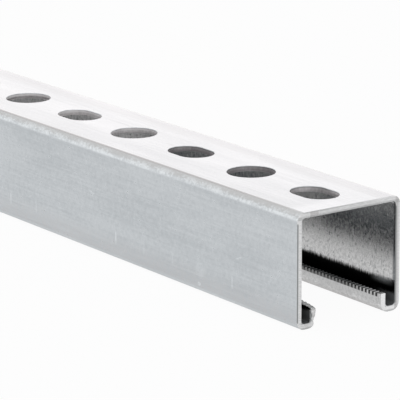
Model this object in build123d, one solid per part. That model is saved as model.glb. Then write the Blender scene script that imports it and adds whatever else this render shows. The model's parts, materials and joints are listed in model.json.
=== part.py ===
from build123d import *
import os

# Rolled section: web on top, two side walls, and a lip returned inside each wall
channel_width = 41.3
channel_height = 38.1
wall_thickness = 1.9
bend_radius = 3.0  # outside of every bend
lip_width = 7.5  # wall's outer face to the lip's slot-side face
lip_height = 6.4  # underside of the channel to the tooth tips

# Sawn length of the stock
stock_length = 609.6

# Punched row along the web: short slots and round holes by turns
end_to_first_hole = 18.0  # sawn end to the middle of the first slot
hole_pitch = 34.0
slot_length = 18.0
slot_width = 12.7
round_hole_diameter = 16.2

# Teeth rolled into the lips' upper edges, which channel nuts bite into
tooth_pitch = 1.8
tooth_depth = 0.7
tooth_land = 0.4  # flat crest left between two notches
plain_lip_end = 1.4  # lip without teeth at each sawn end
lip_root = lip_height - 2 * tooth_depth  # where the toothed strip meets the plain lip


def rolled_face(inset, radius):
    """One face of the sheet, from mid-web round the bends to the lip's edge."""
    side = channel_width / 2 - inset
    lip = channel_width / 2 - lip_width + inset
    return FilletPolyline(
        (0, channel_height - inset),
        (side, channel_height - inset),
        (side, inset),
        (lip, inset),
        (lip, lip_root),
        radius=radius,
    )


def half_section():
    """Half of the section, between its outer and inner faces."""
    outer = rolled_face(0, bend_radius)
    inner = rolled_face(wall_thickness, bend_radius - wall_thickness)
    web_middle = Line(outer @ 0, inner @ 0)
    lip_edge = Line(outer @ 1, inner @ 1)
    return make_face([*outer.edges(), *inner.edges(), web_middle, lip_edge])


def rolled_channel():
    """The plain channel along X, standing on its lips, centred on its length."""
    half = half_section()
    section = half + mirror(half, Plane.YZ)
    across = Plane(origin=(-stock_length / 2, 0, 0), x_dir=(0, 1, 0), z_dir=(1, 0, 0))
    return extrude(across * section, stock_length)


def punched_row():
    """Tools that punch the web: a slot first at the +X end, then a round hole, by turns."""
    room = stock_length - end_to_first_hole - slot_length / 2
    count = 1 + int(room // hole_pitch)
    first = stock_length / 2 - end_to_first_hole
    slot = SlotOverall(slot_length, slot_width)
    round_hole = Circle(round_hole_diameter / 2)
    row = Sketch()
    for number in range(count):
        shape = round_hole if number % 2 else slot
        row += Pos(first - number * hole_pitch, 0) * shape
    below_web = Plane.XY.offset(channel_height - 2 * wall_thickness)
    return extrude(below_web * row, 3 * wall_thickness)


def toothed_edge():
    """The strip along the +Y lip's upper edge, with V notches between flat-topped teeth."""
    count = int((stock_length - 2 * plain_lip_end) // tooth_pitch)
    first = -(count - 1) * tooth_pitch / 2
    half_mouth = (tooth_pitch - tooth_land) / 2
    outline = [(stock_length / 2, lip_root), (-stock_length / 2, lip_root), (-stock_length / 2, lip_height)]
    for number in range(count):
        middle = first + number * tooth_pitch
        outline += [
            (middle - half_mouth, lip_height),
            (middle, lip_height - tooth_depth),
            (middle + half_mouth, lip_height),
        ]
    outline.append((stock_length / 2, lip_height))
    slot_side = Plane.XZ.offset(lip_width - channel_width / 2)
    return extrude(slot_side * make_face(Polyline(*outline, close=True)), -wall_thickness)


def strut_channel():
    """The finished piece of stock."""
    teeth = toothed_edge()
    return rolled_channel() - punched_row() + teeth + mirror(teeth, Plane.XZ)


if __name__ == "__main__":
    os.makedirs("parts", exist_ok=True)
    export_step(strut_channel(), "parts/strut_channel.step")
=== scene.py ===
import bmesh
import bpy
import json
import math
from random import Random
from mathutils import Matrix, Vector


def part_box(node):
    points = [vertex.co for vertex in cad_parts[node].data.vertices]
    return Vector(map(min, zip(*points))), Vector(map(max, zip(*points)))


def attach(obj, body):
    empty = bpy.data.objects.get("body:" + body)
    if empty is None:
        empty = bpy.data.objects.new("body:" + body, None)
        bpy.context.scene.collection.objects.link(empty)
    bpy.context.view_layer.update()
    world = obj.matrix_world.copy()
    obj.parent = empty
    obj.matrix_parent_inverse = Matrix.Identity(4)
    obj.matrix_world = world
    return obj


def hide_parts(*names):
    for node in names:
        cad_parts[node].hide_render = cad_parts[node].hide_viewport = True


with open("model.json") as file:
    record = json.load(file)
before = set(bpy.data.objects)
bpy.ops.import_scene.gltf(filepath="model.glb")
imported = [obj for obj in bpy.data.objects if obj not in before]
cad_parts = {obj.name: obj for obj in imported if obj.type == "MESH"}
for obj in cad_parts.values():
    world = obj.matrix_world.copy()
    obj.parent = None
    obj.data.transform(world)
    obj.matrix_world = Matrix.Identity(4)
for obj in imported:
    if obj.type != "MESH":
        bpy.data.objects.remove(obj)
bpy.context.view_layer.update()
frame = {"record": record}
NODE = "strut_channel"
LOW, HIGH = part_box(NODE)
MOUNTS = {mount["name"]: mount for mount in frame["record"]["mounts"]}
MM = 0.001
SLACK = 0.1 * MM  # how far a point may lie off a face and still count as on it
SAME_POINT = 0.01 * MM  # points closer than this are one point
HOLE_STEPS = 28  # straight pieces that make up half of a hole's rim

bl_info = {
    "name": "Strut channel",
    "version": (1, 0, 0),
    "blender": (4, 5, 0),
    "location": "View3D > Sidebar > Strut channel",
    "description": "A zinc-coated strut channel with punched web and toothed lips, in a plain studio",
    "category": "Add Mesh",
}


# ---------------------------------------------------------------- sizes and colours


def length(name, description, default):
    """A size in metres that a user can change."""
    return bpy.props.FloatProperty(
        name=name,
        description=description,
        default=default,
        unit="LENGTH",
        subtype="DISTANCE",
        precision=5,
    )


def colour(name, description, default):
    """A colour, as red, green and blue."""
    return bpy.props.FloatVectorProperty(
        name=name, description=description, default=default, size=3, min=0, max=1, subtype="COLOR"
    )


def share(name, description, default):
    """A plain number from 0 to 1."""
    return bpy.props.FloatProperty(
        name=name, description=description, default=default, min=0, max=1, subtype="FACTOR"
    )


def setting(name, description, default, unit):
    """A number of any size with a unit of its own."""
    return bpy.props.FloatProperty(name=name, description=description, default=default, unit=unit)


def angle(name, description, degrees):
    """An angle, kept in radians and shown in degrees."""
    return bpy.props.FloatProperty(
        name=name, description=description, default=math.radians(degrees), unit="ROTATION", subtype="ANGLE"
    )


def hole_size(mount, key):
    """One size of a stated pair of holes, in metres."""
    return MOUNTS[mount]["dims"][key] * MM


class ChannelSizes(bpy.types.PropertyGroup):
    sheet: length("Sheet", "Thickness of the rolled sheet", 1.9 * MM)
    bend: length("Bend radius", "Outside radius of every bend", 3.0 * MM)
    lip_width: length("Lip width", "Wall's outer face to the lip's slot-side face", 7.5 * MM)
    lip_height: length("Lip height", "Underside of the channel to the tooth tips", 6.4 * MM)
    hole_pitch: length(
        "Hole pitch", "Distance between neighbouring holes", hole_size("slots_1_3", "spacing_x_mm") / 2
    )
    slot_length: length("Slot length", "Short slot, end to end", hole_size("slots_1_3", "slot_length_mm"))
    slot_radius: length("Slot half width", "Radius of a slot's ends", hole_size("slots_1_3", "hole_r_mm"))
    hole_radius: length(
        "Round hole radius", "Radius of a round hole", hole_size("round_holes_2_4", "hole_r_mm")
    )
    tooth_pitch: length("Tooth pitch", "Distance between neighbouring notches", 1.8 * MM)
    tooth_depth: length("Tooth depth", "Depth of a notch", 0.7 * MM)
    tooth_land: length("Tooth land", "Flat crest between two notches", 0.4 * MM)
    plain_end: length("Plain lip end", "Lip without teeth at each sawn end", 1.4 * MM)
    edge_round: length("Edge rounding", "Width of the worn edge at holes and sawn ends", 0.15 * MM)
    tooth_round: length("Tooth rounding", "Width of the rounding on the teeth", 0.08 * MM)
    crushed: length("Crushed lip", "Length of the -Y lip that the saw crushed at the +X end", 14 * MM)
    burr: length("Burr", "Height of the crushed lip above the tooth tips", 1.0 * MM)
    first_mark: length("First feed mark", "+X end to the first tick of the rolling mill", 34.4 * MM)
    mark_pitch: length("Feed mark pitch", "Distance between the rolling mill's ticks", 16.7 * MM)


class ZincFinish(bpy.types.PropertyGroup):
    zinc: colour("Zinc", "Colour of the zinc coat", (0.535, 0.562, 0.583))
    zinc_light: colour("Light zinc", "Colour of the paler crystals", (0.665, 0.692, 0.712))
    warm_zinc: colour("Warm zinc", "Colour of the zinc low on the side walls", (0.55, 0.54, 0.545))
    worn_zinc: colour("Worn zinc", "Colour of the zinc on the bends beside the web", (0.6, 0.6, 0.6))
    polished_zinc: colour("Polished zinc", "Colour of zinc that is rubbed bright", (0.79, 0.82, 0.84))
    # Also the painted shade on the lips' lower bends, on the far wall's sawn face and where the -Y bend
    # starts
    rubbed_zinc: colour("Rubbed zinc", "Colour of the duller lines, where a bend starts", (0.38, 0.36, 0.36))
    # Painted light: the inside is painted far paler than the outer zinc
    inner_zinc: colour("Inner zinc", "Colour of the zinc inside the channel", (0.9, 0.9, 0.9))
    # Darker mottling within the inside's painted light
    inner_shade: colour("Inner mottling", "Colour of the darker mottling inside", (0.69, 0.69, 0.69))
    # Painted light, paler still inside far from the sawn ends
    clean_zinc: colour("Clean inner zinc", "Colour inside, far from the sawn ends", (0.95, 0.92, 0.92))
    lip_shade: colour("Lip shade", "Colour of the duller upper part of the lips", (0.54, 0.54, 0.54))
    # Painted shade inside, under the web, and on the lips' top edges
    dull_zinc: colour("Dull zinc", "Colour of the duller zinc inside, under the web", (0.25, 0.267, 0.28))
    # Darkest mottling of the painted shade under the web
    dull_shade: colour("Dull mottling", "Colour of the darkest mottling under the web", (0.09, 0.105, 0.115))
    # Near-black painted shade, used in the troughs, the tooth band and notches, along the inner sawn edges
    # and under the first holes' rims
    grime: colour("Grime", "Colour of the old oil in the troughs behind the lips", (0.004, 0.004, 0.004))
    # Colour of dust lying on the troughs' painted shade near the sawn ends
    dusty_grime: colour("Dusty grime", "Colour of dust on the oil near the sawn ends", (0.7, 0.73, 0.74))
    punched_steel: colour("Punched steel", "Colour of the rough walls of the holes", (0.86, 0.84, 0.845))
    sheared_steel: colour("Sheared steel", "Colour of darker lines in the holes' walls", (0.34, 0.32, 0.33))
    steel: colour("Sawn steel", "Colour of the bare sawn end", (0.66, 0.66, 0.66))
    steel_light: colour("Bright sawn steel", "Colour of the saw's brighter lines", (0.8, 0.8, 0.8))
    fresh_steel: colour("Fresh steel", "Colour of the sawn end's brightest faces", (0.97, 0.97, 0.97))
    # Painted shade on the sawn ends
    burr_steel: colour("Burr steel", "Colour of the strips that the saw left rough", (0.26, 0.27, 0.27))
    roughness: share("Roughness", "Roughness of the zinc coat", 0.25)


class StudioSettings(bpy.types.PropertyGroup):
    floor: colour("Floor", "Colour of the studio floor", (0.9, 0.9, 0.9))
    back_colour: colour("Low lamp colour", "Colour of the low lamp behind the part", (1.0, 0.85, 0.82))
    back_power: setting("Low lamp power", "Power of the low lamp behind the part", 8.1, "POWER")
    top_power: setting("Overhead lamp power", "Power of the lamp above the part", 5.5, "POWER")
    azimuth: angle("Azimuth", "Camera angle round the part", 54.464)
    elevation: angle("Elevation", "Camera angle above the floor", 14.646)
    roll: angle("Roll", "Camera tilt about its own line of sight", -0.156)
    distance: length("Distance", "Camera to the point it aims at", 0.948411)
    aim: bpy.props.FloatVectorProperty(
        name="Aim",
        description="Point aimed at, from the near upper corner of the sawn end",
        default=(-26.07 * MM, -18.52 * MM, 1.88 * MM),
        size=3,
        unit="LENGTH",
        subtype="TRANSLATION",
        precision=5,
    )
    lens: setting("Lens", "Focal length of the camera", 272.17, "CAMERA")


# ---------------------------------------------------------------- shader maths


class Value:
    """A socket that takes part in Python expressions."""

    def __init__(self, tree, socket):
        self.tree = tree
        self.socket = socket

    def maths(self, operation, *others):
        """A Math node of this value and others."""
        return self.tree.add("ShaderNodeMath", {"operation": operation}, self, *others)

    def __add__(self, other):
        return self.maths("ADD", other)

    def __sub__(self, other):
        return self.maths("SUBTRACT", other)

    def __rsub__(self, other):
        return self.tree.add("ShaderNodeMath", {"operation": "SUBTRACT"}, other, self)

    def __mul__(self, other):
        return self.maths("MULTIPLY", other)

    def __truediv__(self, other):
        return self.maths("DIVIDE", other)

    def __pow__(self, other):
        return self.maths("POWER", other)

    __radd__ = __add__
    __rmul__ = __mul__

    def clamped(self):
        """The value held between 0 and 1."""
        return self.tree.add("ShaderNodeClamp", {}, self, 0.0, 1.0)

    def step(self, low, high):
        """0 below low, 1 above high, and smooth between."""
        return self.tree.add(
            "ShaderNodeMapRange", {"interpolation_type": "SMOOTHSTEP"}, self, low, high, 0.0, 1.0
        )

    def fade(self, low, high):
        """1 below low, 0 above high, and smooth between."""
        return 1.0 - self.step(low, high)

    def within(self, low, high, soft=0.08):
        """1 between low and high, with soft edges."""
        return self.step(low - soft, low + soft) * self.fade(high - soft, high + soft)


class ShaderTree:
    """Writes the nodes of one material or world."""

    def __init__(self, owner):
        owner.use_nodes = True
        self.nodes = owner.node_tree.nodes
        self.links = owner.node_tree.links
        self.nodes.clear()

    def make(self, kind, settings, *inputs, **named):
        """A node with its settings made first and then its sockets filled, by place or by name."""
        node = self.nodes.new(kind)
        for key, value in settings.items():
            setattr(node, key, value)
        sockets = [socket for socket in node.inputs if socket.enabled]
        for socket, value in zip(sockets, inputs):
            self.fill(socket, value)
        for key, value in named.items():
            self.fill(node.inputs[key.replace("_", " ")], value)
        return node

    def add(self, kind, settings, *inputs, **named):
        """The first output of a new node."""
        node = self.make(kind, settings, *inputs, **named)
        outputs = [socket for socket in node.outputs if socket.enabled]
        return Value(self, outputs[0])

    def fill(self, socket, value):
        """Links a value to a socket, or writes a plain number or colour into it."""
        if isinstance(value, Value):
            self.links.new(value.socket, socket)
        elif value is not None:
            socket.default_value = (*value, 1.0) if socket.type == "RGBA" and len(value) == 3 else value

    def mix(self, factor, low, high):
        """A colour between two colours."""
        node = self.nodes.new("ShaderNodeMix")
        node.data_type = "RGBA"
        for name, value in (("Factor", factor), ("A", low), ("B", high)):
            wanted = "VALUE" if name == "Factor" else "RGBA"
            self.fill(next(s for s in node.inputs if s.name == name and s.type == wanted), value)
        return Value(self, next(s for s in node.outputs if s.type == "RGBA"))

    def axes(self, vector):
        """The three parts of a vector."""
        node = self.make("ShaderNodeSeparateXYZ", {}, vector)
        return [Value(self, socket) for socket in node.outputs]

    def stretched(self, vector, scale):
        """A vector times another, axis by axis."""
        return self.add("ShaderNodeVectorMath", {"operation": "MULTIPLY"}, vector, scale)

    def rays(self):
        """1 for rays from the camera, for mirrored rays and for rays through glass, in that order."""
        path = self.make("ShaderNodeLightPath", {})
        names = ("Is Camera Ray", "Is Glossy Ray", "Is Transmission Ray")
        return [Value(self, path.outputs[name]) for name in names]

    def noise(self, vector, scale, detail, roughness=0.5):
        """Noise from 0 to 1, mostly near 0.5 and the same each time."""
        return self.add(
            "ShaderNodeTexNoise", {}, Vector=vector, Scale=scale, Detail=detail, Roughness=roughness
        )


# ---------------------------------------------------------------- the rolled sheet


def arc(centre, radius, start, end, steps):
    """Points along a round bend, angles in degrees."""
    return [
        (
            centre[0] + radius * math.cos(math.radians(start + (end - start) * step / steps)),
            centre[1] + radius * math.sin(math.radians(start + (end - start) * step / steps)),
        )
        for step in range(steps + 1)
    ]


def half_face(sizes, inset, steps=12):
    """One face of half the sheet as (y, z) points, from mid-web to the lip's edge."""
    side = HIGH.y - inset
    top = HIGH.z - inset
    lip = HIGH.y - sizes.lip_width + inset
    radius = sizes.bend - inset
    return (
        [(0, top)]
        + arc((side - radius, top - radius), radius, 90, 0, steps)
        + arc((side - radius, inset + radius), radius, 0, -90, steps)
        + arc((lip + radius, inset + radius), radius, -90, -180, steps)
        + [(lip, sizes.lip_height)]
    )


def whole_face(sizes, inset):
    """One face of the sheet from lip edge to lip edge."""
    half = half_face(sizes, inset)
    return [(-y, z) for y, z in reversed(half[1:])] + half


def mesh_object(name, points, faces):
    """A new object from points and faces."""
    mesh = bpy.data.meshes.new(name)
    mesh.from_pydata(points, [], faces)
    mesh.validate()
    piece = bpy.data.objects.new(name, mesh)
    bpy.context.scene.collection.objects.link(piece)
    return piece


def plain_channel(sizes):
    """The sheet bent to its section and cut to length."""
    outer = whole_face(sizes, 0)
    inner = whole_face(sizes, sizes.sheet)
    loop = outer + inner[::-1]
    count = len(loop)
    points = [(x, y, z) for x in (LOW.x, HIGH.x) for y, z in loop]
    faces = [(i, (i + 1) % count, (i + 1) % count + count, i + count) for i in range(count)]
    for i in range(len(outer) - 1):
        back = count - 1 - i
        faces.append((i, back, back - 1, i + 1))
        faces.append((i + count, i + 1 + count, back - 1 + count, back + count))
    return mesh_object(NODE + "_sheet", points, faces)


def prism(outline, low, high, place):
    """Points and faces of a prism between two heights along its own axis."""
    count = len(outline)
    points = [place(a, b, along) for along in (low, high) for a, b in outline]
    faces = [(i, (i + 1) % count, (i + 1) % count + count, i + count) for i in range(count)]
    faces += [tuple(reversed(range(count))), tuple(range(count, 2 * count))]
    return points, faces


def join(parts):
    """Several lots of points and faces as one."""
    points, faces = [], []
    for some_points, some_faces in parts:
        start = len(points)
        points += some_points
        faces += [tuple(start + index for index in face) for face in some_faces]
    return points, faces


def hole_punches(sizes):
    """The tools for the web's holes, a slot first at the +X end."""
    first = MOUNTS["slots_1_3"]["pos_m"][0] + sizes.hole_pitch
    count = 1 + int((first - sizes.slot_length / 2 - LOW.x) // sizes.hole_pitch)
    parts = []
    for number in range(count):
        slot = number % 2 == 0
        radius = sizes.slot_radius if slot else sizes.hole_radius
        reach = sizes.slot_length / 2 - radius if slot else 0.0
        middle = first - number * sizes.hole_pitch
        outline = arc((middle + reach, 0), radius, -90, 90, HOLE_STEPS)
        outline += arc((middle - reach, 0), radius, 90, 270, HOLE_STEPS)
        outline = [p for i, p in enumerate(outline) if math.dist(p, outline[i - 1]) > SAME_POINT]
        below, above = HIGH.z - 2 * sizes.sheet, HIGH.z + sizes.sheet
        parts.append(prism(outline, below, above, lambda x, y, z: (x, y, z)))
    return mesh_object("hole_punches", *join(parts))


def tooth_cutters(sizes):
    """The V tools for the lips' teeth, each one across both lips."""
    run = HIGH.x - LOW.x - 2 * sizes.plain_end
    count = int(run // sizes.tooth_pitch)
    first = -(count - 1) * sizes.tooth_pitch / 2
    half = (sizes.tooth_pitch - sizes.tooth_land) / 2
    top = sizes.lip_height
    reach = HIGH.y - sizes.lip_width + 1.5 * sizes.sheet
    parts = []
    for number in range(count):
        middle = first + number * sizes.tooth_pitch
        outline = [
            (middle, top - sizes.tooth_depth),
            (middle + half, top),
            (middle + half, top + sizes.tooth_depth),
            (middle - half, top + sizes.tooth_depth),
            (middle - half, top),
        ]
        parts.append(prism(outline, reach, -reach, lambda x, z, y: (x, y, z)))
    return mesh_object("tooth_cutters", *join(parts))


def cut(piece, cutter):
    """A Boolean that takes the cutter away from the piece."""
    modifier = piece.modifiers.new(cutter.name, "BOOLEAN")
    modifier.operation = "DIFFERENCE"
    modifier.solver = "EXACT"
    modifier.object = cutter


def round_edges(piece, width, segments):
    """A bevel on every edge that is clearly sharp."""
    modifier = piece.modifiers.new("edges", "BEVEL")
    modifier.width = width
    modifier.segments = segments
    modifier.limit_method = "ANGLE"
    modifier.angle_limit = math.radians(35)
    modifier.use_clamp_overlap = True


def settle(piece):
    """Turns the piece's modifiers into its own mesh."""
    graph = bpy.context.evaluated_depsgraph_get()
    made = bpy.data.meshes.new_from_object(piece.evaluated_get(graph))
    old = piece.data
    piece.modifiers.clear()
    piece.data = made
    bpy.data.meshes.remove(old)


def in_lip(vertex, sizes):
    """Whether a point lies on the -Y lip."""
    slot_side = sizes.lip_width - HIGH.y
    across = slot_side - sizes.sheet - SLACK < vertex.co.y < slot_side + SLACK
    return across and vertex.co.z < sizes.lip_height + SLACK


def crush_lip_end(piece, sizes):
    """The -Y lip's +X end as the saw left it: pushed up, thicker on top and ragged."""
    start = HIGH.x - sizes.crushed
    slot_side = sizes.lip_width - HIGH.y
    mesh = bmesh.new()
    mesh.from_mesh(piece.data)
    for part in (0.0, 0.2, 0.4, 0.55, 0.7, 0.8, 0.88, 0.94, 0.98):
        x = start + sizes.crushed * part
        slice_lip(mesh, sizes, (x, 0, 0), (1, 0, 0), x - sizes.sheet)
    for part in (0.3, 0.45, 0.6, 0.7, 0.8, 0.9):
        slice_lip(mesh, sizes, (0, 0, sizes.lip_height * part), (0, 0, 1), start)
    for part in (0.3, 0.7):
        slice_lip(mesh, sizes, (0, slot_side - sizes.sheet * part, 0), (0, 1, 0), start)
    random = Random(7)
    for vertex in mesh.verts:
        if in_lip(vertex, sizes) and vertex.co.z > sizes.sheet / 2 and vertex.co.x > start:
            push_burr(vertex, sizes, random)
    mesh.to_mesh(piece.data)
    mesh.free()


def slice_lip(mesh, sizes, place, normal, start):
    """Cuts the lip's faces past a place along X, so that they can bend there."""
    faces = [
        face
        for face in mesh.faces
        if all(in_lip(vertex, sizes) for vertex in face.verts)
        and max(vertex.co.x for vertex in face.verts) > start + SAME_POINT
    ]
    edges = {edge for face in faces for edge in face.edges}
    verts = {vertex for face in faces for vertex in face.verts}
    bmesh.ops.bisect_plane(
        mesh, geom=[*verts, *edges, *faces], dist=1e-7, plane_co=Vector(place), plane_no=Vector(normal)
    )


def ramp(value, low, high):
    """0 below low, 1 above high and even between."""
    return min(1.0, max(0.0, (value - low) / (high - low)))


def push_burr(vertex, sizes, random):
    """Moves one point of the crushed lip, by its place along, up and across the lip."""
    along = 1.0 - (HIGH.x - vertex.co.x) / sizes.crushed
    up = vertex.co.z / sizes.lip_height
    across = (sizes.lip_width - HIGH.y - vertex.co.y) / sizes.sheet
    depth = sizes.lip_height - vertex.co.z
    tip = ramp(along, 0.9, 1.0)
    top = ramp(up, 0.85, 1.0)
    slot_edge = max(0.0, 1.0 - across * 1.6)
    crest = 0.475  # how far along the hump is highest
    if along < crest:
        hump = math.sin(math.pi * along / (2 * crest)) ** 2
    else:
        hump = 1.0 - 0.55 * ramp(along, crest, 1.0)
    # The teeth are pressed flat, and the top rises in a hump that falls towards the trough and the corners
    if depth < sizes.tooth_depth + SLACK:
        vertex.co.z += 0.7 * depth * ramp(along, 0.0, 0.3)
    vertex.co.z += sizes.burr * hump * ramp(up, 0.45, 1.0)
    vertex.co.z -= 0.6 * MM * tip * ramp(up, 0.8, 1.0)
    vertex.co.z -= 0.5 * MM * slot_edge * ramp(along, 0.7, 1.0) * top
    vertex.co.z -= 0.45 * MM * min(1.0, across) * hump * top
    # The sawn tip bulges into the trough and is dented from the slot's side
    vertex.co.y -= 1.0 * MM * tip * max(0.0, across - 0.5) * ramp(up, 0.15, 0.35)
    vertex.co.y -= 1.1 * MM * tip * slot_edge * max(0.0, 1.0 - abs(up - 0.36) / 0.3)
    if tip > 0:
        vertex.co.y += random.uniform(-0.12, 0.12) * MM
        vertex.co.z += random.uniform(-0.15, 0.15) * MM
        vertex.co.x -= random.uniform(0, 0.12) * MM


def smooth(piece):
    """Smooth bends between flat faces that stay flat."""
    piece.data.shade_smooth()
    piece.data.set_sharp_from_angle(angle=math.radians(32))
    modifier = piece.modifiers.new("flat faces", "WEIGHTED_NORMAL")
    modifier.keep_sharp = True
    settle(piece)


# ---------------------------------------------------------------- materials


# Small marks: distance from the +X end, place up or across the face, half length, half height and slope,
# all in millimetres
WALL_KNOCKS = (
    (30.7, 16.9, 1.5, 0.35, -0.35),
    (52.5, 3.2, 0.9, 0.7, 0.0),
    (116.0, 21.0, 1.6, 0.3, 0.3),
)
WALL_HAZE = ((52.0, 8.2, 2.4, 3.0, 0.0),)
WEB_SMUDGES = (
    (114.6, 3.9, 1.3, 0.6, -0.3),
    (99.0, 0.4, 2.4, 0.4, 0.0),
)

# Stretches where the mill's ticks are rubbed away: start and end from the +X end in millimetres, and the
# share that is gone
RUBBED_STRETCHES = (
    (28.0, 40.0, 0.25),
    (42.0, 60.0, 0.9),
    (62.0, 92.0, 0.6),
    (108.0, 145.0, 0.9),
    (146.0, 158.0, 0.5),
)


class Section:
    """Depths into the section in millimetres, and masks that are 1 on the face named and 0 elsewhere."""

    def __init__(self, tree, sizes):
        self.tree = tree
        coordinates = tree.make("ShaderNodeTexCoord", {})
        self.where = tree.stretched(Value(tree, coordinates.outputs["Object"]), (1 / MM, 1 / MM, 1 / MM))
        self.x, self.y, self.z = tree.axes(self.where)
        self.half_length = HIGH.x / MM
        self.height = HIGH.z / MM
        self.sheet = sizes.sheet / MM
        self.bend = sizes.bend / MM
        self.lip_width = sizes.lip_width / MM
        self.tips = sizes.lip_height / MM
        self.roots = self.tips - sizes.tooth_depth / MM
        self.tooth_pitch = sizes.tooth_pitch / MM
        self.plain_end = sizes.plain_end / MM
        self.crushed = sizes.crushed / MM
        self.hole_pitch = sizes.hole_pitch / MM
        self.first_hole = (HIGH.x - MOUNTS["slots_1_3"]["pos_m"][0]) / MM - self.hole_pitch
        self.first_mark = sizes.first_mark / MM
        self.mark_pitch = sizes.mark_pitch / MM
        self.measure_depths()
        self.mask_faces()
        self.mask_lips()

    def measure_depths(self):
        """How far in from each face a point lies."""
        across = self.y.maths("ABSOLUTE")
        half_width = HIGH.y / MM
        self.from_end = self.half_length - self.x
        self.end_gap = self.half_length - self.x.maths("ABSOLUTE")
        self.side_depth = half_width - across
        self.web_depth = self.height - self.z
        self.lip_depth = across - (half_width - self.lip_width)

    def mask_faces(self):
        """The two halves, the sawn faces, the walls' outer faces, the inside and the holes' walls."""
        self.near_half = self.y.fade(-0.1, 0.1)
        self.far_half = self.y.step(-0.1, 0.1)
        self.sawn = self.end_gap.fade(0.04, 0.12)
        self.on_wall = self.side_depth.fade(0.1, 0.3)
        behind_lip = self.past_sheet(self.lip_depth)
        above_lip = self.z.step(self.tips + 0.1, self.tips + 0.2)
        inside = self.past_sheet(self.side_depth) * self.past_sheet(self.web_depth)
        self.inner = inside * behind_lip.maths("MAXIMUM", above_lip)
        self.trough = inside * behind_lip * self.past_sheet(self.z)
        self.hole_wall = self.web_depth.within(0.2, self.sheet - 0.1) * self.side_depth.step(8.0, 9.0)

    def mask_lips(self):
        """The lips with their slot-side faces, edges, teeth and notches."""
        burr_top = self.tips + 1.2
        self.lips = self.z.fade(burr_top - 0.1, burr_top + 0.1)
        self.lip_face = self.lips * self.lip_depth.fade(0.4, 0.6)
        self.sheltered = self.inner.maths("MAXIMUM", self.lips * self.side_depth.step(4.0, 5.5))
        top_of_lip = self.lips * self.z.step(self.roots - 0.3, self.roots - 0.1)
        on_edge = self.lip_depth.within(0.02, self.sheet - 0.02, 0.02)
        self.on_lip_edge = on_edge * top_of_lip * (1.0 - self.sawn)
        on_lip = self.lip_depth.fade(self.sheet + 0.02, self.sheet + 0.1)
        in_teeth = self.z.step(self.roots - 0.8, self.roots - 0.5)
        past_plain_end = self.end_gap.step(self.plain_end - 0.4, self.plain_end)
        self.toothed = self.lips * on_lip * in_teeth * past_plain_end
        teeth = self.x / self.tooth_pitch
        off_notch = (teeth - teeth.maths("ROUND")).maths("ABSOLUTE")
        self.notches = self.toothed * off_notch.fade(0.2, 0.38)

    def past_sheet(self, depth):
        """1 where a depth goes right through the sheet."""
        return depth.step(self.sheet - 0.3, self.sheet - 0.1)

    def hole(self, number):
        """The middle of a hole counted from the +X end, in millimetres from that end."""
        return self.first_hole + (number - 1) * self.hole_pitch

    def noise(self, stretch, detail, roughness=0.5):
        """Noise drawn out along the axes: the smaller an axis's number, the longer its marks."""
        return self.tree.noise(self.tree.stretched(self.where, stretch), 1.0, detail, roughness)

    def saw_burr(self):
        """Painted shade in strips of each sawn face, on their -Y and lower sides."""
        half_width = HIGH.y / MM
        web_strip = self.web_depth.step(1.0, 1.6) * self.web_depth.fade(2.2, 2.6)
        bottom_strip = self.z.fade(0.4, 0.9)
        strips = web_strip * 0.4 + bottom_strip * 0.5
        upright = self.web_depth.within(self.bend + 0.4, self.height - self.bend + 0.5, 0.4)
        for start in (-half_width, -half_width + self.lip_width - self.sheet, half_width - self.sheet):
            strips = strips + (self.y - start).within(-0.3, 0.5, 0.15) * upright
        return strips.clamped() * self.sawn


def zinc_tones(tree, part, finish):
    """The outer coat: pale zinc with lengthwise rolling streaks, soft clouds and a fine grain."""
    streaks = part.noise((0.03, 1.3, 1.3), 4.0, 0.6)
    clouds = part.noise((0.015, 0.07, 0.07), 2.0)
    grain = tree.noise(part.where, 0.8, 4.0, 0.65)
    tone = streaks * 0.25 + clouds * 0.38 + grain * 0.37
    tone = tone + part.on_wall * part.end_gap.step(140.0, 190.0) * 0.06
    base = tree.mix(tone.step(0.35, 0.65), finish.zinc, finish.zinc_light)
    low_on_wall = part.on_wall * part.z.fade(2.0, 11.0)
    base = tree.mix(low_on_wall * (grain.step(0.35, 0.6) * 0.4 + 0.1), base, finish.warm_zinc)
    return base, grain, streaks


def outer_wear(tree, part, finish, base):
    """The upper bends, duller beside the web and rubbed bright in specks below, a painted dark reflection
    where the -Y bend starts, and the outside's marks.
    """
    upper_bend = part.side_depth.step(0.1, 0.5) * part.side_depth.fade(2.4, 3.0)
    base = tree.mix(upper_bend * part.web_depth.fade(0.7, 1.9) * 0.9, base, finish.worn_zinc)

    crest = part.web_depth.within(0.5, 2.4, 0.5) * part.side_depth.fade(1.6, 2.0)
    patches = part.noise((0.09, 0.3, 0.3), 2.0).step(0.35, 0.6)
    specks = part.noise((0.6, 0.8, 0.8), 5.0, 0.8) + patches * 0.16
    on_web = part.web_depth.fade(0.1, 0.4)
    corner = part.from_end.fade(4.0, 10.0) * part.y.fade(-8.0, 2.0) * on_web
    rubbed = crest * specks.step(0.48, 0.74) * 0.85 + corner * 0.35
    rubbed = rubbed + feed_marks(part) * 0.7 + knocks(tree, part)
    base = tree.mix(rubbed.clamped(), base, finish.polished_zinc)

    # Painted dark reflection in a line where the -Y bend starts, with real smudges on the web
    start_of_bend = part.side_depth.within(1.9, 2.95, 0.15) * part.web_depth.fade(0.9, 1.1) * part.near_half
    smudges = spots(tree, part, part.y, WEB_SMUDGES) * part.web_depth.fade(0.05, 0.1)
    far_strip = part.y.within(12.0, 17.0, 1.5) * part.web_depth.fade(0.3, 0.6)
    dulled_and_shaded = start_of_bend * (0.2 + part.end_gap.step(0.0, 60.0) * 0.25)
    dulled_and_shaded = dulled_and_shaded + smudges * 0.5 + far_strip * 0.12
    return tree.mix(dulled_and_shaded.clamped(), base, finish.rubbed_zinc)


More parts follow.
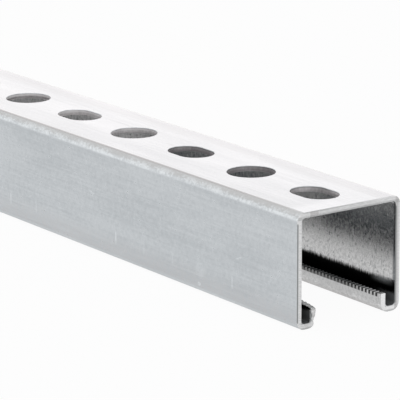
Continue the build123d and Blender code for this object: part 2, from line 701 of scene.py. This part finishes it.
def feed_marks(part):
    """Short upright ticks at even distances, low on the side walls."""
    places = (part.from_end - part.first_mark) / part.mark_pitch
    off_mark = (places - places.maths("ROUND")).maths("ABSOLUTE") * part.mark_pitch
    strength = part.noise((0.11, 0.0, 0.6), 2.0).step(0.25, 0.55)
    for start, end, gone in RUBBED_STRETCHES:
        strength = strength * (1.0 - part.from_end.within(start, end, 2.0) * gone)
    band = part.z.within(6.2, 10.2, 0.9) * part.on_wall * places.step(-0.5, -0.4)
    return off_mark.fade(0.1, 0.6) * band * strength


def spots(tree, part, up, places):
    """Small broken marks at the places of a table, up or across a face."""
    marks = 0.0
    for from_end, height, half_length, half_height, slope in places:
        along = from_end - part.from_end
        above = up - height + along * slope
        away = (along / half_length) ** 2.0 + (above / half_height) ** 2.0
        marks = marks + away.fade(0.3, 1.6)
    return marks * tree.noise(part.where, 1.5, 3.0, 0.7).step(0.4, 0.55)


def knocks(tree, part):
    """A few small polished knocks and one hazy patch on the -Y wall, near the +X end."""
    marks = spots(tree, part, part.z, WALL_KNOCKS) * 0.8 + spots(tree, part, part.z, WALL_HAZE) * 0.3
    return marks * part.on_wall * part.near_half


def inner_tones(tree, part, finish, base):
    """The inside: painted light above the troughs, painted shade towards the web and along the sawn edges,
    mottled and fibrous all over.
    """
    fibres = part.noise((1.6, 1.6, 0.35), 3.0, 0.6)
    blots = tree.noise(part.where, 0.9, 4.0, 0.75)
    fibrous = part.inner * 0.25
    mottle = ((fibres * fibrous + blots * (1.0 - fibrous) - 0.5) * 1.9 + 0.5).clamped()
    # Painted light: the inside faces take a pale mottled colour
    pale = tree.mix(mottle.step(0.25, 0.65), finish.inner_shade, finish.inner_zinc)
    base = tree.mix(part.sheltered, base, pale)

    waves = part.noise((0.1, 0.4, 0.4), 3.0, 0.6)
    upper_lip = (part.z + (waves - 0.5) * 7.0).step(2.2, 2.9)
    base = tree.mix(part.lip_face * (0.15 + upper_lip * 0.35), base, finish.lip_shade)

    # Painted shade: the inner walls are painted darker towards the web, with mottled flecks
    height = part.z + (mottle - 0.5) * 18.0 - part.end_gap.fade(8.0, 40.0) * 1.8
    shade_amount = height.step(15.5, 26.5) * 0.9 - height.step(25.5, 33.5) * 0.5
    # Painted light: the painted shade is lifted in stretches that light reaches through the holes and far
    # from the ends
    lighter = part.end_gap.within(37.0, 62.0, 6.0) * 0.8 + part.end_gap.step(118.0, 160.0) * 0.7
    lighter = lighter + part.end_gap.within(136.0, 156.0, 6.0) * 0.35
    specks = part.noise((1.2, 1.2, 0.8), 1.0).fade(0.29, 0.36)
    flecks = part.noise((1.8, 1.8, 0.3), 1.0).fade(0.26, 0.32)
    shade_amount = (shade_amount * (1.0 - lighter) + specks.maths("MAXIMUM", flecks) * 0.45).clamped()
    # Painted shadow of the burr along the inner walls' sawn edges
    shade_amount = shade_amount.maths("MAXIMUM", part.end_gap.fade(0.5, 1.7) * 0.85)
    darkest = tree.mix(mottle.step(0.4, 0.6), finish.dull_zinc, finish.dull_shade)
    return tree.mix(part.inner * shade_amount, base, darkest), fibres, blots


def trough_shade_and_dust(tree, part, finish, base, fibres, blots):
    """Painted shade in the troughs, near black with a ragged upper rim, with dust on it near the sawn ends.
    """
    near_end = part.end_gap.fade(2.0, 13.0)
    rim = part.z + (fibres - 0.5) * 3.0 - near_end * (blots - 0.45) * 4.0
    # Painted shade: the troughs behind the lips are painted near black up to a ragged rim
    grime = part.trough * rim.fade(8.7, 10.3)
    haze = part.end_gap.within(2.5, 11.0, 2.5) * part.z.step(7.0, 9.4) * (blots.step(0.25, 0.65) * 0.5 + 0.5)
    settled = near_end * (part.z + (blots - 0.5) * 3.0).fade(4.9, 6.2)
    dust = (haze + settled).clamped() * grime
    shade_and_dust = tree.mix(haze * 0.45 + settled * 0.18, finish.grime, finish.dusty_grime)
    return tree.mix(grime, base, shade_and_dust), grime, dust


def lip_painted_shade(tree, part, finish, base):
    """Painted shade on the lips: darker top edges and lower bends, a darker tooth band away from the ends,
    and darker notches except on the crushed lip end.
    """
    # Painted shade on the lips' top edges and on their lower bends
    base = tree.mix(part.on_lip_edge * part.end_gap.step(1.0, 16.0) * 0.6, base, finish.dull_zinc)
    under_lip = part.lips * part.z.fade(0.6, 2.8) * part.lip_depth.fade(2.5, 3.0)
    base = tree.mix(under_lip * 0.6, base, finish.rubbed_zinc)
    # Painted shade in the tooth band, and more in the notches
    base = tree.mix(part.toothed * part.end_gap.step(6.0, 20.0) * 0.6, base, finish.grime)
    crushed = part.end_gap.fade(part.crushed - 5.0, part.crushed) * part.near_half
    fainter = part.end_gap.step(6.0, 30.0) * 0.25
    return tree.mix(part.notches * (0.9 - fainter) * (1.0 - crushed), base, finish.grime)


def punched_walls(tree, part, finish, base):
    """The holes' walls: rough steel with a shear line, broken darker below it past the fifth, with a painted
    shadow under the rim of the first three holes.
    """
    third, fourth, fifth = (part.hole(number) for number in (3, 4, 5))
    first_only = part.end_gap.fade(part.hole(1) + 10.0, part.hole(1) + 20.0)
    past_fifth = part.end_gap.step(fifth + 11.0, fifth + 21.0)
    sheared = part.noise((1.2, 1.2, 0.6), 3.0, 0.7).step(0.3, 0.7) * 0.3 + 0.1
    sheared = sheared + part.end_gap.step(fourth - 20.0, fourth + 10.0) * 0.65 + first_only * 0.3
    sheared = sheared - part.web_depth.step(0.3, part.sheet) * 0.35
    sheared = sheared + part.web_depth.within(0.5, 0.8, 0.12) * 0.25
    sheared = sheared - past_fifth * part.web_depth.step(0.9, 1.25) * 0.45
    punched = tree.mix(sheared.clamped(), finish.sheared_steel, finish.punched_steel)
    # Painted shadow under the top rim, from the middle of the first hole to the third
    under_rim = part.web_depth.fade(0.5, 0.95) * part.from_end.step(part.hole(1) - 3.0, part.hole(1) + 3.0)
    under_rim = under_rim * part.end_gap.fade(third + 9.0, fourth)
    punched = tree.mix(under_rim * 0.35, punched, finish.grime)
    return tree.mix(part.hole_wall, base, punched)


def sawn_ends(tree, part, finish, base):
    """Bare steel with the saw's lines, fresh on the +Y lip, with painted shade in strips along the section.
    """
    saw_lines = part.noise((1.0, 0.5, 4.0), 3.0, 0.7)
    bright_lines = saw_lines.step(0.35, 0.6)
    bare = tree.mix(bright_lines, finish.steel, finish.steel_light)
    # Painted shade on the -Y side of the far wall's sawn face and along the top edge of the sawn web
    far_wall = part.side_depth.within(0.75, 2.05, 0.4) * part.far_half
    bare = tree.mix(far_wall * 0.45, bare, finish.rubbed_zinc)
    top_line = part.web_depth.fade(0.2, 0.55) * part.y.fade(-8.0, 14.0)
    bare = tree.mix(top_line * 0.4, bare, finish.burr_steel)
    crushed_lip = part.near_half * part.z.step(3.0, 3.8) * part.lip_depth.step(-1.15, -0.65)
    crushed_lip = crushed_lip * part.lip_depth.fade(part.sheet + 0.35, part.sheet + 0.75)
    bare = tree.mix(crushed_lip * (0.2 + bright_lines * 0.4), bare, finish.rubbed_zinc)
    far_lip = part.side_depth.within(part.sheet + 0.05, part.lip_width + 0.15, 0.2) * part.far_half
    fresh = far_lip * part.z.fade(part.tips, part.tips + 0.6)
    bare = tree.mix(fresh * 0.7, bare, finish.fresh_steel)
    bare = tree.mix(part.saw_burr() * 0.95, bare, finish.burr_steel)
    return tree.mix(part.sawn, base, bare), saw_lines


def zinc_material(finish, sizes):
    """Zinc on rolled sheet, with painted light and painted shade inside, painted near-black shade in the
    troughs, bare at the sawn ends.
    """
    material = bpy.data.materials.new("galvanised_steel")
    tree = ShaderTree(material)
    part = Section(tree, sizes)
    base, grain, streaks = zinc_tones(tree, part, finish)
    base = outer_wear(tree, part, finish, base)
    base, fibres, blots = inner_tones(tree, part, finish, base)
    base, grime, dust = trough_shade_and_dust(tree, part, finish, base, fibres, blots)
    base = lip_painted_shade(tree, part, finish, base)
    # Painted shadow of the burr: a dark line on the inner walls beside the sawn edges, higher up
    end_line = part.inner * part.end_gap.fade(0.3, 1.2) * part.z.step(16.0, 21.0)
    base = tree.mix(end_line * 0.6, base, finish.grime)
    base = punched_walls(tree, part, finish, base)
    base, saw_lines = sawn_ends(tree, part, finish, base)
    # Painted light: the inside far from the sawn ends is painted paler
    far_inside_mask = part.inner * part.end_gap.step(110.0, 160.0) * (1.0 - part.trough)
    base = tree.mix(far_inside_mask * 0.7, base, finish.clean_zinc)

    far_bend = part.y.step(18.0, 19.5) * part.web_depth.fade(0.5, 1.5)
    rough = finish.roughness + (grain - 0.5) * 0.15 + (grime + dust + part.on_lip_edge) * 0.25
    rough = rough + (far_bend + part.hole_wall) * 0.4 + part.inner * part.end_gap.step(50.0, 110.0) * 0.45
    relief = (grain + streaks) * 0.5 + part.sawn * saw_lines
    bump = tree.add("ShaderNodeBump", {}, Strength=0.35, Distance=0.03 * MM, Height=relief)
    shader = tree.add(
        "ShaderNodeBsdfPrincipled",
        {},
        Base_Color=base,
        Metallic=1.0 - dust,
        Roughness=rough.clamped(),
        Normal=bump,
    )
    tree.make("ShaderNodeOutputMaterial", {}, Surface=shader)
    return material


def floor_material(colour):
    """A pale floor that shows almost white to the camera and keeps a faint shadow."""
    material = bpy.data.materials.new("studio_floor")
    tree = ShaderTree(material)
    seen, mirrored, through = tree.rays()
    plain = tree.add("ShaderNodeBsdfDiffuse", {}, (*colour, 1.0))
    glow = tree.add("ShaderNodeEmission", {}, (1.0, 1.0, 1.0, 1.0), 1.0)
    amount = (seen * 0.95 + mirrored * 0.6 + through * 0.6).clamped()
    mixed = tree.add("ShaderNodeMixShader", {}, amount, plain, glow)
    tree.make("ShaderNodeOutputMaterial", {}, Surface=mixed)
    return material


# ---------------------------------------------------------------- operators


class MESH_OT_strut_channel(bpy.types.Operator):
    """Roll, punch, tooth and saw the channel"""

    bl_idname = "mesh.strut_channel_sheet"
    bl_label = "Channel"

    def execute(self, context):
        sizes = context.scene.channel_sizes
        piece = plain_channel(sizes)
        punches = hole_punches(sizes)
        cut(piece, punches)
        round_edges(piece, sizes.edge_round, 2)
        teeth = tooth_cutters(sizes)
        cut(piece, teeth)
        round_edges(piece, sizes.tooth_round, 1)
        settle(piece)
        for tool in (punches, teeth):
            bpy.data.objects.remove(tool)
        crush_lip_end(piece, sizes)
        smooth(piece)
        piece.data.materials.append(zinc_material(context.scene.zinc_finish, sizes))
        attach(piece, "root")
        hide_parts(NODE)
        return {"FINISHED"}


def area_lamp(name, place, target, width, height, power, colour):
    """A soft lamp behind a rectangle of cloth, turned to face a point."""
    light = bpy.data.lights.new(name, "AREA")
    light.shape = "RECTANGLE"
    light.size = width
    light.size_y = height
    light.energy = power
    light.color = colour
    lamp = bpy.data.objects.new(name, light)
    lamp.location = place
    lamp.rotation_euler = (Vector(target) - lamp.location).to_track_quat("-Z", "Y").to_euler()
    bpy.context.scene.collection.objects.link(lamp)


def studio_world():
    """A white studio that shows as pure white behind the part."""
    world = bpy.data.worlds.new("studio")
    bpy.context.scene.world = world
    tree = ShaderTree(world)
    seen, mirrored, through = tree.rays()
    coordinates = tree.make("ShaderNodeTexCoord", {})
    height = tree.axes(Value(tree, coordinates.outputs["Generated"]))[2]
    walls = tree.mix(height.step(0.34, 0.5), (1.0, 1.0, 1.0), (0.88, 0.88, 0.88))
    light = tree.add("ShaderNodeBackground", {}, (0.96, 0.98, 1.0, 1.0), 0.6)
    room = tree.add("ShaderNodeBackground", {}, walls, 1.0)
    white = tree.add("ShaderNodeBackground", {}, (1.0, 1.0, 1.0, 1.0), 1.0)
    mixed = tree.add("ShaderNodeMixShader", {}, (mirrored + through).clamped(), light, room)
    mixed = tree.add("ShaderNodeMixShader", {}, seen, mixed, white)
    tree.make("ShaderNodeOutputWorld", {}, Surface=mixed)


def studio_camera(studio):
    """A long lens that looks down the channel at its sawn end."""
    camera = bpy.data.objects.new("camera", bpy.data.cameras.new("camera"))
    bpy.context.scene.collection.objects.link(camera)
    camera.data.lens = studio.lens
    camera.data.clip_end = 20
    away = math.cos(studio.elevation)
    back = Vector(
        (math.sin(studio.azimuth) * away, -math.cos(studio.azimuth) * away, math.sin(studio.elevation))
    )
    level = Vector((math.cos(studio.azimuth), math.sin(studio.azimuth), 0))
    up = back.cross(level)
    across = math.cos(studio.roll) * level + math.sin(studio.roll) * up
    upward = math.cos(studio.roll) * up - math.sin(studio.roll) * level
    aim_point = Vector((HIGH.x, LOW.y, HIGH.z)) + Vector(studio.aim)
    turn = Matrix((across, upward, back)).transposed()
    camera.matrix_world = Matrix.Translation(aim_point + back * studio.distance) @ turn.to_4x4()
    bpy.context.scene.camera = camera


class SCENE_OT_strut_studio(bpy.types.Operator):
    """Set the floor, the soft lamps, the white surroundings and the camera"""

    bl_idname = "scene.strut_studio"
    bl_label = "Studio"

    def execute(self, context):
        studio = context.scene.studio_settings
        reach = 4.0  # metres from the middle of the floor to each side
        corners = [(-reach, -reach, 0), (reach, -reach, 0), (reach, reach, 0), (-reach, reach, 0)]
        floor = mesh_object("floor", corners, [(0, 1, 2, 3)])
        floor.data.materials.append(floor_material(studio.floor))
        area_lamp(
            "low back", (-2.4, 1.9, 0.64), (0.1, 0, 0.03), 4.8, 1.2, studio.back_power, studio.back_colour
        )
        area_lamp("overhead", (0.3, -0.5, 1.8), (0.1, 0, 0), 1.4, 1.4, studio.top_power, (1.0, 1.0, 1.0))
        studio_world()
        studio_camera(studio)
        context.scene.view_settings.view_transform = "Standard"
        return {"FINISHED"}


class VIEW3D_PT_strut_channel(bpy.types.Panel):
    """The channel, its finish and its studio"""

    bl_label = "Strut channel"
    bl_space_type = "VIEW_3D"
    bl_region_type = "UI"
    bl_category = "Strut channel"

    def draw(self, context):
        scene = context.scene
        for group in (scene.channel_sizes, scene.zinc_finish, scene.studio_settings):
            box = self.layout.box()
            for name in group.__annotations__:
                box.prop(group, name)
        for operator in OPERATORS:
            self.layout.operator(operator.bl_idname)


GROUPS = {"channel_sizes": ChannelSizes, "zinc_finish": ZincFinish, "studio_settings": StudioSettings}
OPERATORS = (MESH_OT_strut_channel, SCENE_OT_strut_studio)


def register():
    """Adds the settings, operators and panel to Blender."""
    for name, group in GROUPS.items():
        bpy.utils.register_class(group)
        setattr(bpy.types.Scene, name, bpy.props.PointerProperty(type=group))
    for item in (*OPERATORS, VIEW3D_PT_strut_channel):
        bpy.utils.register_class(item)


def unregister():
    """Takes them out again, last one first."""
    for item in (VIEW3D_PT_strut_channel, *reversed(OPERATORS)):
        bpy.utils.unregister_class(item)
    for name, group in GROUPS.items():
        delattr(bpy.types.Scene, name)
        bpy.utils.unregister_class(group)


def main():
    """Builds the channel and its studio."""
    register()
    bpy.ops.mesh.strut_channel_sheet()
    bpy.ops.scene.strut_studio()


if __name__ == "__main__":
    main()
